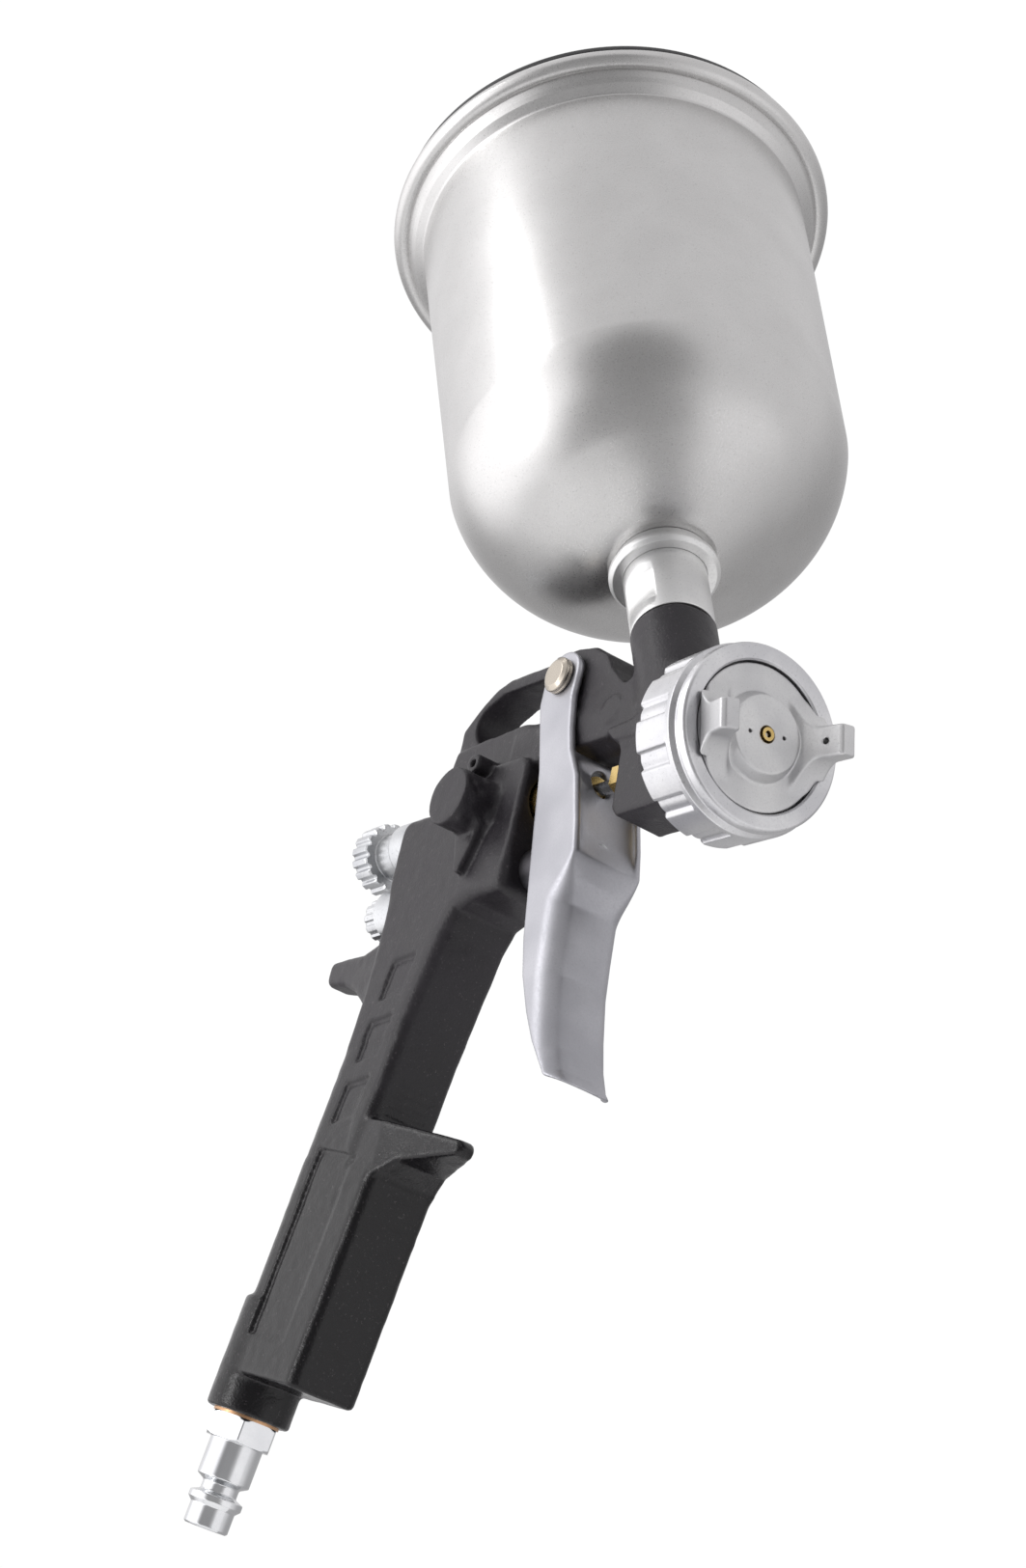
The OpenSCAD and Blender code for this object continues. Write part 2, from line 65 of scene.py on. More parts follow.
CAP_R, CAP_HOLE_R, JET_AT, HORN_TURN = 15.8, 1.85, 14.4, 13.0
PIVOT, PIN_R, HEAD_R = (-65.4, 25.5), 2.5, 4.1  # the trigger's pin
TRIGGER_W, SHEET = 9.0, 1.4                 # half width and sheet of the trigger
PLUG_R, HEX_AF = 5.0, 14.0


# ---- Small geometry helpers ----

def unit(angle):
    return math.cos(math.radians(angle)), math.sin(math.radians(angle))


def arc(cx, cz, r, a0, a1, n=8):
    """Points of an arc about (cx, cz), from angle a0 to a1 in n steps."""
    turns = [unit(a0 + (a1 - a0) * i / n) for i in range(n + 1)]
    return [(cx + r * c, cz + r * s) for c, s in turns]


def plain(points):
    """The same points with no rounding at any of them."""
    return [(r, h, 0) for r, h in points]


def smoothstep(lo, hi, x):
    t = np.clip((x - lo) / (hi - lo), 0, 1)
    return t * t * (3 - 2 * t)


def mesh_from(name, verts_mm, faces):
    """A smooth-shaded mesh object from arrays of points in mm and of quads."""
    me = bpy.data.meshes.new(name)
    me.vertices.add(len(verts_mm))
    me.vertices.foreach_set("co", (np.asarray(verts_mm, np.float32) * MM).ravel())
    faces = np.asarray(faces, np.int32)
    me.loops.add(faces.size)
    me.loops.foreach_set("vertex_index", faces.ravel())
    me.polygons.add(len(faces))
    me.polygons.foreach_set("loop_start", np.arange(0, faces.size, faces.shape[1], dtype=np.int32))
    me.update(calc_edges=True)
    me.validate()
    me.shade_smooth()
    ob = bpy.data.objects.new(name, me)
    bpy.context.scene.collection.objects.link(ob)
    return ob


# ---- Turned pieces: a filleted profile swept round an axis ----

def fillet(points):
    """Rounds the corners of a closed profile of (r, h, radius) and adds a guard row beside each."""
    out, n = [], len(points)
    for i, p in enumerate(points):
        a, c = np.array(points[i - 1][:2], float), np.array(points[(i + 1) % n][:2], float)
        b = np.array(p[:2], float)
        u, v = a - b, c - b
        lu, lv = np.linalg.norm(u), np.linalg.norm(v)
        u, v = u / lu, v / lv
        turn = math.acos(max(-1.0, min(1.0, float(u @ v))))
        if p[2] <= 0 or turn > math.radians(176) or b[0] <= 1e-6:
            out.append(b)
            continue
        cut = min(p[2] / math.tan(turn / 2), 0.42 * lu, 0.42 * lv)
        s, e = b + u * cut, b + v * cut
        if lu > cut + 2.5 * GUARD:
            out.append(s + u * GUARD)
        for k in range(FILLET_STEPS + 1):
            t = k / FILLET_STEPS
            out.append((1 - t) ** 2 * s + 2 * t * (1 - t) * b + t * t * e)
        if lv > cut + 2.5 * GUARD:
            out.append(e + v * GUARD)
    return [(max(0.0, float(q[0])), float(q[1])) for q in out]


def turned(name, profile, place, shape=None, steps=TURN_STEPS):
    """Sweeps a closed profile round an axis. place(x, y, h) gives the point in the gun's frame;
    shape(r, h, angle) may change the radius."""
    rows = np.array(fillet(profile), float)
    angle = np.arange(steps) * (2 * math.pi / steps)
    r = np.repeat(rows[:, :1], steps, 1)
    h = np.repeat(rows[:, 1:2], steps, 1)
    if shape is not None:
        r = shape(r, h, angle[None, :])
    x, y = r * np.cos(angle)[None, :], r * np.sin(angle)[None, :]
    verts = np.stack(place(x, y, h), -1).reshape(-1, 3)
    here = np.arange(len(rows))[:, None] * steps
    ahead = np.roll(here, -1)
    j = np.arange(steps)[None, :]
    j2 = (j + 1) % steps
    quads = np.stack([here + j, here + j2, ahead + j2, ahead + j], -1)
    ob = mesh_from(name, verts, quads.reshape(-1, 4))
    tidy_mesh(ob)
    return ob


def tidy_mesh(ob):
    """Merges the points on the axis, drops empty faces and turns the faces outwards."""
    bm = bmesh.new()
    bm.from_mesh(ob.data)
    bmesh.ops.remove_doubles(bm, verts=bm.verts, dist=2e-6)
    bmesh.ops.dissolve_degenerate(bm, edges=bm.edges, dist=1e-6)
    bmesh.ops.recalc_face_normals(bm, faces=bm.faces)
    bm.to_mesh(ob.data)
    bm.free()
    ob.data.shade_smooth()


def on_x(z0=0.0):
    """Axis along +X at height z0: h is the x coordinate."""
    return lambda x, y, h: (h, y, x + z0)


def on_cup(x, y, h):
    """h runs up the cup's axis from the spray axis."""
    c, s = unit(CUP_LEAN)
    return CUP_X + x * c - h * s, y, x * s + h * c


def on_grip(x, y, h):
    """h runs down the air channel, x towards the fingers."""
    c, s = unit(GRIP_LEAN)
    return GRIP_X + x * c - h * s, y, -x * s - h * c


def on_pivot(x, y, h):
    """h runs along the trigger's pin, towards the gun's right."""
    return PIVOT[0] + x, -h, PIVOT[1] + y


# ---- Cast and pressed pieces: distance fields on a grid, meshed by surface nets ----

class Field:
    """A grid of points in mm, with the distance-field shapes that the pieces are made of."""

    def __init__(self, lo, hi, step):
        self.lo, self.step = np.array(lo, float), step
        self.n = [int(math.ceil((b - a) / step)) + 1 for a, b in zip(lo, hi)]
        ax = [np.float32(a) + np.arange(k, dtype=np.float32) * np.float32(step)
              for a, k in zip(lo, self.n)]
        self.x, self.y, self.z = ax[0][:, None, None], ax[1][None, :, None], ax[2][None, None, :]

    @staticmethod
    def polygon(points, u, v):
        """Signed distance to a polygon in the plane (u, v)."""
        shape = np.broadcast(u, v).shape
        d, inside = np.full(shape, 1e9, np.float32), np.zeros(shape, bool)
        for (ax, ay), (bx, by) in zip(points, points[1:] + points[:1]):
            ex, ey = bx - ax, by - ay
            if ex * ex + ey * ey < 1e-9:
                continue
            wx, wy = u - ax, v - ay
            t = np.clip((wx * ex + wy * ey) / (ex * ex + ey * ey), 0, 1)
            d = np.minimum(d, (wx - ex * t) ** 2 + (wy - ey * t) ** 2)
            if ey != 0:
                inside ^= ((ay > v) != (by > v)) & (u < ax + ex * (v - ay) / ey)
        return np.where(inside, -1, 1) * np.sqrt(d)

    @staticmethod
    def both(a, b, r=0.0):
        """Overlap of two shapes, with the edge rounded at radius r."""
        if np.isscalar(r) and r == 0:
            return np.maximum(a, b)
        a, b = a + r, b + r
        return np.minimum(np.maximum(a, b), 0) + np.hypot(np.maximum(a, 0), np.maximum(b, 0)) - r

    @staticmethod
    def join(a, b, k=0.0):
        """Union, with a fillet of about k."""
        if k == 0:
            return np.minimum(a, b)
        h = np.maximum(k - np.abs(a - b), 0) / k
        return np.minimum(a, b) - h * h * k * 0.25

    @staticmethod
    def cut(a, b, k=0.0):
        """a with b taken away."""
        return -Field.join(-a, b, k)

    def plate(self, points, w, r=0.8, y0=0.0):
        """An outline in X and Z, w thick to each side of y0, with its edges rounded at r."""
        return self.both(self.polygon(points, self.x, self.z), np.abs(self.y - y0) - w, r)

    def rod_x(self, x0, x1, r, z=0.0, edge=0.0):
        """A rod along X."""
        across = np.hypot(self.y, self.z - z) - r
        return self.both(across, np.abs(self.x - (x0 + x1) / 2) - (x1 - x0) / 2, edge)

    def rod_y(self, y0, y1, r, x, z, edge=0.0):
        """A rod along Y."""
        across = np.hypot(self.x - x, self.z - z) - r
        return self.both(across, np.abs(self.y - (y0 + y1) / 2) - (y1 - y0) / 2, edge)

    def rod(self, a, b, r, edge=0.0):
        """A rod between two points."""
        a, b = np.array(a, float), np.array(b, float)
        n = (b - a) / np.linalg.norm(b - a)
        h = (self.x - a[0]) * n[0] + (self.y - a[1]) * n[1] + (self.z - a[2]) * n[2]
        q = (self.x - a[0]) ** 2 + (self.y - a[1]) ** 2 + (self.z - a[2]) ** 2 - h * h
        length = np.linalg.norm(b - a)
        return self.both(np.sqrt(np.maximum(q, 0)) - r, np.abs(h - length / 2) - length / 2, edge)

    def noise(self, scale, seed):
        """Soft noise in -1..1 with features about scale mm across."""
        rng = np.random.default_rng(seed)
        cells = [max(2, int(k * self.step / scale) + 2) for k in self.n]
        coarse = rng.uniform(-1, 1, cells).astype(np.float32)
        for axis, k in enumerate(self.n):
            at = np.arange(k) * self.step / scale
            i = np.minimum(at.astype(int), cells[axis] - 2)
            t = at - i
            t = (t * t * (3 - 2 * t)).astype(np.float32)
            t = t.reshape([-1 if a == axis else 1 for a in range(3)])
            coarse = np.take(coarse, i, axis) * (1 - t) + np.take(coarse, i + 1, axis) * t
        return coarse

    @staticmethod
    def soften(d, passes):
        """Averages each point with its neighbours, which rounds every edge a little."""
        for _ in range(passes):
            for axis in range(3):
                core = [slice(None)] * 3
                before, after = list(core), list(core)
                core[axis], before[axis], after[axis] = slice(1, -1), slice(0, -2), slice(2, None)
                new = d.copy()
                new[tuple(core)] = 0.5 * d[tuple(core)] + 0.25 * (d[tuple(before)] + d[tuple(after)])
                d = new
        return d

    def mesh(self, name, d):
        """Meshes the zero level of d with surface nets."""
        d = np.ascontiguousarray(np.broadcast_to(d, self.n), np.float32).copy()
        for axis in range(3):
            ends = [slice(None)] * 3
            for k in (0, -1):
                ends[axis] = k
                d[tuple(ends)] = np.maximum(d[tuple(ends)], 0.5 * self.step)
        d[np.abs(d) < 1e-5] = 1e-5
        inside = d < 0
        corner = [(i, j, k) for i in (0, 1) for j in (0, 1) for k in (0, 1)]
        view = [tuple(slice(o, (-1 if o == 0 else None)) for o in c) for c in corner]
        count = sum(inside[v].astype(np.int8) for v in view)
        cell = np.argwhere((count > 0) & (count < 8))
        number = np.full(count.shape, -1, np.int64)
        number[tuple(cell.T)] = np.arange(len(cell))
        value = [d[tuple((cell + np.array(c)).T)] for c in corner]
        total, hits = np.zeros((len(cell), 3)), np.zeros(len(cell))
        for a in range(8):
            for b in range(a + 1, 8):
                ca, cb = np.array(corner[a]), np.array(corner[b])
                if np.abs(ca - cb).sum() != 1:
                    continue
                m = (value[a] < 0) != (value[b] < 0)
                t = value[a][m] / (value[a][m] - value[b][m])
                total[m] += ca + t[:, None] * (cb - ca)
                hits[m] += 1
        verts = self.lo + (cell + total / hits[:, None]) * self.step
        faces = []
        for axis in range(3):
            near, far = [slice(1, -1)] * 3, [slice(1, -1)] * 3
            near[axis], far[axis] = slice(0, -1), slice(1, None)
            cross = np.argwhere(inside[tuple(near)] != inside[tuple(far)])
            start = np.array([1, 1, 1])
            start[axis] = 0
            at = cross + start
            u, v = (axis + 1) % 3, (axis + 2) % 3
            eu, ev = np.eye(3, dtype=int)[u], np.eye(3, dtype=int)[v]
            quad = np.stack([number[tuple((at - o).T)] for o in (eu + ev, ev, np.zeros(3, int), eu)], -1)
            flip = ~inside[tuple(at.T)]
            quad[flip] = quad[flip][:, ::-1]
            faces.append(quad)
        return mesh_from(name, verts, np.concatenate(faces))


# ---- Materials ----

def principled(name):
    """A new material, its node tree and its shader."""
    mat = bpy.data.materials.new(name)
    mat.use_nodes = True
    nt = mat.node_tree
    return mat, nt, nt.nodes["Principled BSDF"]


def node(nt, kind, **inputs):
    """A new node, with its inputs or properties set by name."""
    n = nt.nodes.new(kind)
    for k, v in inputs.items():
        if k in n.inputs:
            n.inputs[k].default_value = v
        else:
            setattr(n, k, v)
    return n


def noise(nt, coords, scale_mm, detail=3.0, stretch=None, roughness=0.55):
    """A noise texture with features about scale_mm across, in object space."""
    src = coords.outputs["Object"]
    if stretch:
        m = node(nt, "ShaderNodeMapping")
        m.inputs["Scale"].default_value = stretch
        nt.links.new(src, m.inputs["Vector"])
        src = m.outputs["Vector"]
    n = node(nt, "ShaderNodeTexNoise", Scale=1.0 / (scale_mm * MM), Detail=detail, Roughness=roughness)
    nt.links.new(src, n.inputs["Vector"])
    return n.outputs["Fac"]


def span(nt, fac, lo, hi, a, b):
    """Maps lo..hi to a..b, and holds the ends."""
    r = node(nt, "ShaderNodeMapRange")
    for key, value in (("From Min", lo), ("From Max", hi), ("To Min", a), ("To Max", b)):
        r.inputs[key].default_value = value
    nt.links.new(fac, r.inputs["Value"])
    return r.outputs["Result"]


def mix(nt, fac, a, b):
    """Colour a turning into b with fac; each is a socket or a value."""
    m = node(nt, "ShaderNodeMix", data_type="RGBA")
    for key, value in ((0, fac), (6, a), (7, b)):
        if isinstance(value, bpy.types.NodeSocket):
            nt.links.new(value, m.inputs[key])
        else:
            m.inputs[key].default_value = value if key == 0 else (*value, 1)
    return m.outputs[2]


def edge_mask(nt, radius_mm, lo=0.03, hi=0.2):
    """1 along edges: where the surface's normal differs from a rounded one's. The materials make these edges
    paler as wear, and on the black paint also as a painted highlight.
    """
    bevel = node(nt, "ShaderNodeBevel", samples=4)
    bevel.inputs["Radius"].default_value = radius_mm * MM
    geo = node(nt, "ShaderNodeNewGeometry")
    dot = node(nt, "ShaderNodeVectorMath", operation="DOT_PRODUCT")
    nt.links.new(bevel.outputs["Normal"], dot.inputs[0])
    nt.links.new(geo.outputs["Normal"], dot.inputs[1])
    return span(nt, dot.outputs["Value"], 1 - lo, 1 - hi, 0, 1)


def bump(nt, heights):
    """Chains bumps of (height socket, depth in mm) onto one another."""
    normal = None
    for height, depth in heights:
        b = node(nt, "ShaderNodeBump", Strength=1.0, Distance=depth * MM)
        nt.links.new(height, b.inputs["Height"])
        if normal is not None:
            nt.links.new(normal, b.inputs["Normal"])
        normal = b.outputs["Normal"]
    return normal


def satin_metal(name, light, dark, rough, grain, depth, speck=0.0, speck_mm=0.5, stretch=None,
                wear=0.6, edge=0.35, spread=0.12):
    """Metal with a fine grain, cloudy tone, dark specks and brighter worn edges."""
    mat, nt, bsdf = principled(name)
    co = node(nt, "ShaderNodeTexCoord")
    cloud = noise(nt, co, 14, 2)
    fine = noise(nt, co, grain, 4, stretch)
    tone = mix(nt, span(nt, cloud, 0.35, 0.65, 0, 1), dark, light)
    tone = mix(nt, span(nt, fine, 0.3, 0.7, 0, 0.35), tone, dark)
    if speck > 0:
        dots = noise(nt, co, speck_mm, 2, None, 0.7)
        tone = mix(nt, span(nt, dots, 0.60, 0.72, 0, speck), tone, tuple(c * 0.35 for c in dark))
    worn = edge_mask(nt, edge)
    tone = mix(nt, span(nt, worn, 0, 1, 0, wear), tone, tuple(min(1, c * 1.15) for c in light))
    nt.links.new(tone, bsdf.inputs["Base Color"])
    bsdf.inputs["Metallic"].default_value = 1.0
    nt.links.new(span(nt, fine, 0.3, 0.7, rough - spread / 2, rough + spread / 2), bsdf.inputs["Roughness"])
    nt.links.new(bump(nt, [(fine, depth), (noise(nt, co, 4, 2), depth * 0.8)]), bsdf.inputs["Normal"])
    return mat


def paint_black():
    """Black satin paint over a sand-cast skin, glossier where the hand rubs it low on the grip, and darker
    there as painted shade.
    """
    mat, nt, bsdf = principled("paint_black")
    co = node(nt, "ShaderNodeTexCoord")
    sep = node(nt, "ShaderNodeSeparateXYZ")
    nt.links.new(co.outputs["Object"], sep.inputs[0])
    low = span(nt, sep.outputs["Z"], -0.040, -0.085, 0, 1)
    skin, cloud = noise(nt, co, 0.55, 4), noise(nt, co, 9, 3)
    specks = noise(nt, co, 0.8, 2, None, 0.7)
    tone = mix(nt, span(nt, cloud, 0.3, 0.7, 0, 1), (0.017, 0.015, 0.018), (0.028, 0.025, 0.030))
    # Painted shade: low on the grip the colour turns almost black, for the darker look the lower grip has in
    # the light
    tone = mix(nt, low, tone, (0.003, 0.0025, 0.0035))
    # Painted highlight, partly chipped paint: where the chip specks fall on an edge the colour turns pale
    # grey, standing in for the light that the grip's and panels' edges catch
    worn = edge_mask(nt, 0.7, 0.02, 0.2)
    edge_chips_and_glints = span(nt, specks, 0.45, 0.60, 0, 1)
    both = node(nt, "ShaderNodeMath", operation="MULTIPLY")
    nt.links.new(worn, both.inputs[0])
    nt.links.new(edge_chips_and_glints, both.inputs[1])
    tone = mix(nt, span(nt, both.outputs[0], 0, 1, 0, 0.5), tone, (0.30, 0.27, 0.29))
    tone = mix(nt, span(nt, specks, 0.62, 0.74, 0, 0.3), tone, (0.16, 0.14, 0.15))
    nt.links.new(tone, bsdf.inputs["Base Color"])
    rough = span(nt, cloud, 0.3, 0.7, 0.34, 0.48)
    glossy = span(nt, cloud, 0.3, 0.7, 0.12, 0.22)
    r = node(nt, "ShaderNodeMix")
    for key, src in ((0, low), (2, rough), (3, glossy)):
        nt.links.new(src, r.inputs[key])
    nt.links.new(r.outputs[0], bsdf.inputs["Roughness"])
    bsdf.inputs["Specular IOR Level"].default_value = 0.36
    nt.links.new(bump(nt, [(skin, 0.09), (noise(nt, co, 2.6, 2), 0.07)]), bsdf.inputs["Normal"])
    return mat


def plastic(name, base, rough, grain=0.6, depth=0.01):
    """Plastic or rubber with a cloudy tone, a fine grain and paler worn edges."""
    mat, nt, bsdf = principled(name)
    co = node(nt, "ShaderNodeTexCoord")
    cloud, fine = noise(nt, co, 6, 3), noise(nt, co, grain, 3)
    tone = mix(nt, span(nt, cloud, 0.3, 0.7, 0, 1), base, tuple(c * 0.8 for c in base))
    worn = edge_mask(nt, 0.3)
    tone = mix(nt, span(nt, worn, 0, 1, 0, 0.3), tone, tuple(min(1, c * 1.5 + 0.03) for c in base))
    nt.links.new(tone, bsdf.inputs["Base Color"])
    nt.links.new(span(nt, fine, 0.3, 0.7, rough - 0.06, rough + 0.08), bsdf.inputs["Roughness"])
    nt.links.new(bump(nt, [(fine, depth)]), bsdf.inputs["Normal"])
    return mat


# light tone, dark tone, roughness, grain in mm, grain's depth in mm, and what differs from plain
METALS = {
    "cup_metal": ((0.64, 0.635, 0.63), (0.60, 0.595, 0.59), 0.31, 0.35, 0.012,
                  dict(speck=0.3, speck_mm=0.45)),
    "neck_metal": ((0.84, 0.84, 0.83), (0.70, 0.70, 0.70), 0.40, 0.5, 0.012, dict(speck=0.2)),
    "ring_metal": ((0.76, 0.76, 0.77), (0.60, 0.60, 0.62), 0.34, 0.7, 0.03, dict(speck=0.35)),
    "cap_metal": ((0.72, 0.72, 0.72), (0.58, 0.58, 0.59), 0.46, 0.4, 0.02, dict(speck=0.25)),
    "plug_chrome": ((0.78, 0.79, 0.80), (0.66, 0.67, 0.69), 0.10, 1.2, 0.004,
                    dict(wear=0.2, edge=0.2, spread=0.06)),
    "trigger_metal": ((0.50, 0.50, 0.53), (0.42, 0.42, 0.45), 0.48, 0.45, 0.014, dict(speck=0.15)),
    "pin_metal": ((0.54, 0.49, 0.42), (0.42, 0.38, 0.33), 0.30, 0.3, 0.006, dict(wear=0.4, edge=0.2)),
    "knob_metal": ((0.70, 0.71, 0.72), (0.50, 0.51, 0.53), 0.36, 0.5, 0.015, dict(speck=0.35)),
    "steel": ((0.62, 0.63, 0.64), (0.50, 0.51, 0.52), 0.25, 0.25, 0.006, dict(stretch=(1, 0.1, 0.1))),
    "spring_steel": ((0.55, 0.56, 0.58), (0.40, 0.41, 0.43), 0.28, 0.3, 0.006, {}),
    "dark_steel": ((0.16, 0.15, 0.16), (0.08, 0.08, 0.09), 0.42, 0.4, 0.01, {}),
    "brass": ((0.80, 0.61, 0.28), (0.62, 0.44, 0.16), 0.26, 0.3, 0.006, {}),
    "copper_seal": ((0.70, 0.44, 0.26), (0.50, 0.28, 0.15), 0.35, 0.4, 0.008, {}),
}
# base tone and roughness, then grain and its depth in mm where they aren't plain
PLASTICS = {
    "white_seal": ((0.80, 0.79, 0.74), 0.5),
    "black_rubber": ((0.03, 0.03, 0.03), 0.65, 0.4, 0.02),
    "lid_plastic": ((0.022, 0.022, 0.024), 0.32, 0.8, 0.012),
    "vent_plastic": ((0.78, 0.77, 0.72), 0.42),
    "mesh_plastic": ((0.74, 0.77, 0.79), 0.4),
}
MATS = {"body_paint": paint_black()}
MATS.update({name: satin_metal(name, *look, **more) for name, (*look, more) in METALS.items()})
MATS.update({name: plastic(name, *look) for name, look in PLASTICS.items()})


def dress(ob, slot, body, *nodes):
    """Gives a piece the material that its slot names, sets it on its body, and hides the CAD nodes it stands
    for.
    """
    ob.data.materials.clear()
    ob.data.materials.append(MATS[slot])
    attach(ob, body)
    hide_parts(*nodes)
    return ob


for part in frame["record"]["subparts"]:
    mesh = frame["nodes"][part["node"]].data
    mesh.materials.clear()
    mesh.materials.append(MATS[part["material_slot"]])


# ---- Cup, collar, neck, lid ----

def dome(depth):
    """The cup's shoulder, that far inside its outer face."""
    return plain(arc(CUP_R - DOME_IN, FLOOR_L + 34.5, DOME_R - depth, -62, -9, 22))


def make_cup():
    outer = [(DRAIN_R, FLOOR_L, 0.2), (NECK_R + 3, FLOOR_L, 1), (NECK_R + 8, FLOOR_L + 1.2, 0)] + dome(0)
    step = [(CUP_R, SEAT_L - 1.2, 0.8), (CUP_R + 2.0, SEAT_L + 0.4, 0.8), (CUP_R + 2.6, SEAT_L + 1.4, 0.3),
            (CUP_R + 3.4, SEAT_L + 3.2, 0.5), (CUP_R + 3.0, SEAT_L + 4.0, 0.15)]
    bead_r = 2.4
    bead = plain(arc(RIM_R - bead_r, RIM_L - bead_r, bead_r, -135, 90, 18))
    mouth = [(MOUTH_R + 0.4, RIM_L, 0.3), (MOUTH_R, RIM_L - 0.6, 0.2), (MOUTH_R, SEAT_L + WALL, 0.4),
             (CUP_R - WALL, SEAT_L + WALL, 0.5)]
    inner = dome(WALL + GAP)[::-1]
    inner += [(NECK_R + 3 - WALL, FLOOR_L + WALL, 1), (DRAIN_R, FLOOR_L + WALL, 0.2)]
    return turned("cup_shell", outer + step + bead + mouth + inner, on_cup)


dress(make_cup(), "cup_metal", "cup", "cup")

collar = [(NECK_R + GAP, COLLAR_L - 1.5, 0.1), (NECK_R + 2.2, COLLAR_L - 1.5, 0.4),
          (NECK_R + 3, COLLAR_L - 0.6, 0.5), (NECK_R + 3, COLLAR_L + 0.6, 0.5),
          (NECK_R + 1.6, COLLAR_L + 1.5, 0.4), (NECK_R + 1.6, FLOOR_L - GAP, 0.3),
          (NECK_R + GAP, FLOOR_L - GAP, 0.1)]
dress(turned("neck_collar", collar, on_cup), "neck_metal", "cup", "cup_collar")


def neck_flats(r, h, angle):
    """Wrench flats on both sides of the neck tube."""
    flat = (NECK_R - 1.2) / np.maximum(np.abs(np.sin(angle)), 1e-3)
    return np.where((h > FLAT_LO) & (h < FLAT_HI) & (r > 8), np.minimum(r, flat), r)


thread_r, bore_r = 6.55, 4.6                # the neck's threaded end and its bore
sieve_r, sieve_l = 5.8, 56.5                # the strainer's seat
flange_r, flange_l = 10, FLOOR_L + 2.4      # the flange inside the cup
neck_line = [(bore_r, 24, 0.2), (thread_r, 24, 0.3), (thread_r, 38.3, 0.2), (NECK_R, 38.3, 0.25)]
flat_rows = (FLAT_LO - 0.1, FLAT_LO + 0.05, 45, FLAT_HI - 0.05, FLAT_HI + 0.1, 53)
neck_line += [(NECK_R, h, 0) for h in flat_rows]
neck_line += [(NECK_R, FLOOR_L - GAP, 0.1), (DRAIN_R - GAP, FLOOR_L - GAP, 0.1),
              (DRAIN_R - GAP, flange_l, 0.2), (flange_r, flange_l, 0.2), (flange_r, flange_l + 2, 0.4),
              (sieve_r, flange_l + 2, 0.2), (sieve_r, sieve_l, 0.2), (bore_r, sieve_l, 0.2)]
dress(turned("neck_tube", neck_line, on_cup, neck_flats), "neck_metal", "cup", "cup_neck")


def above_rim(points):
    return [(r, h + RIM_L, f) for r, h, f in points]


lid_line = [(1.5, 1.2, 0.2), (38, 1.2, 0.5), (40.2, -4.6, 0.4), (43.2, -4.6, 0.4), (43.2, 0.4, 0.3),
            (RIM_R - 1.5, 0.4, 0.4), (RIM_R - 1.5, 2.2, 0.7), (43, 3, 0.5), (40, 3, 0.5), (12, 4.2, 1),
            (6, 4.4, 0.5), (6, 8, 0.4), (1.5, 8, 0.3)]
dress(turned("lid", above_rim(lid_line), on_cup), "lid_plastic", "lid", "cup_lid")


def vent_flutes(r, h, angle):
    """Eight finger grooves round the vent cap."""
    wave = np.maximum(0, np.cos(8 * angle)) ** 2
    return np.where(r > 7.4, r - 0.75 * wave, r)


vent_line = [(0, 10.4, 0), (8.6, 10.4, 0.8), (8.6, 5.2, 0.3), (6.05, 5.2, 0.2), (6.05, 8.3, 0.2), (0, 8.3, 0)]
vent = turned("vent_cap", above_rim(vent_line), on_cup, vent_flutes)
dress(vent, "vent_plastic", "vent_cap", "lid_vent_cap")


# ---- Ring ----

def ring_flutes(r, h, angle):
    """Wide lobes with narrow flutes between them on the rear two thirds."""
    pitch = 2 * math.pi / LOBES
    off = np.abs((angle / pitch) % 1 - 0.5) * 2             # 0 in the middle of a lobe, 1 in a flute
    flute = smoothstep(0.60, 0.68, off) * (1.15 - 0.25 * smoothstep(0.68, 1, off))
    along = smoothstep(-4.7, -5.3, h)
    return np.where(r > RING_R - 2.2, r - 0.8 * flute * along, r)


taper, back, front = 0.3, RING_BACK + 0.8, -3.4     # the lobes' taper, and where they begin and end
ring_line = [(SPIGOT_R + GAP, RING_BACK, 0.2), (RING_R - 0.9, RING_BACK, 0.4), (RING_R - taper, back, 0.3)]
ring_line += [(RING_R - taper * (1 - k), back + (front - back) * k, 0) for k in (0.125, 0.25, 0.375, 0.5)]
ring_line += [(RING_R - 0.06, -5.5 + 0.15 * k, 0) for k in range(8)]        # rows for the flutes' ends
ring_line += [(RING_R, front, 0.4), (RING_R - 1.1, -2.5, 0.3), (RING_R - 1.1, -1.9, 0.3),
              (RING_R - 0.5, -1.2, 0.3)]
ring_line += plain(arc(RING_R - 1.6, 0, 1, 15, 100, 6))
ring_line += [(CAP_R + 0.75, 0.75, 0.3), (CAP_R + 0.35, 0.3, 0.15), (CAP_R + 0.35, -1.8, 0.1),
              (SPIGOT_R + GAP, -1.8, 0.1)]
ring = turned("retaining_ring", ring_line, on_x(), ring_flutes, TURN_STEPS * 2)
dress(ring, "ring_metal", "ring", "cap_ring")


# ---- Air cap ----

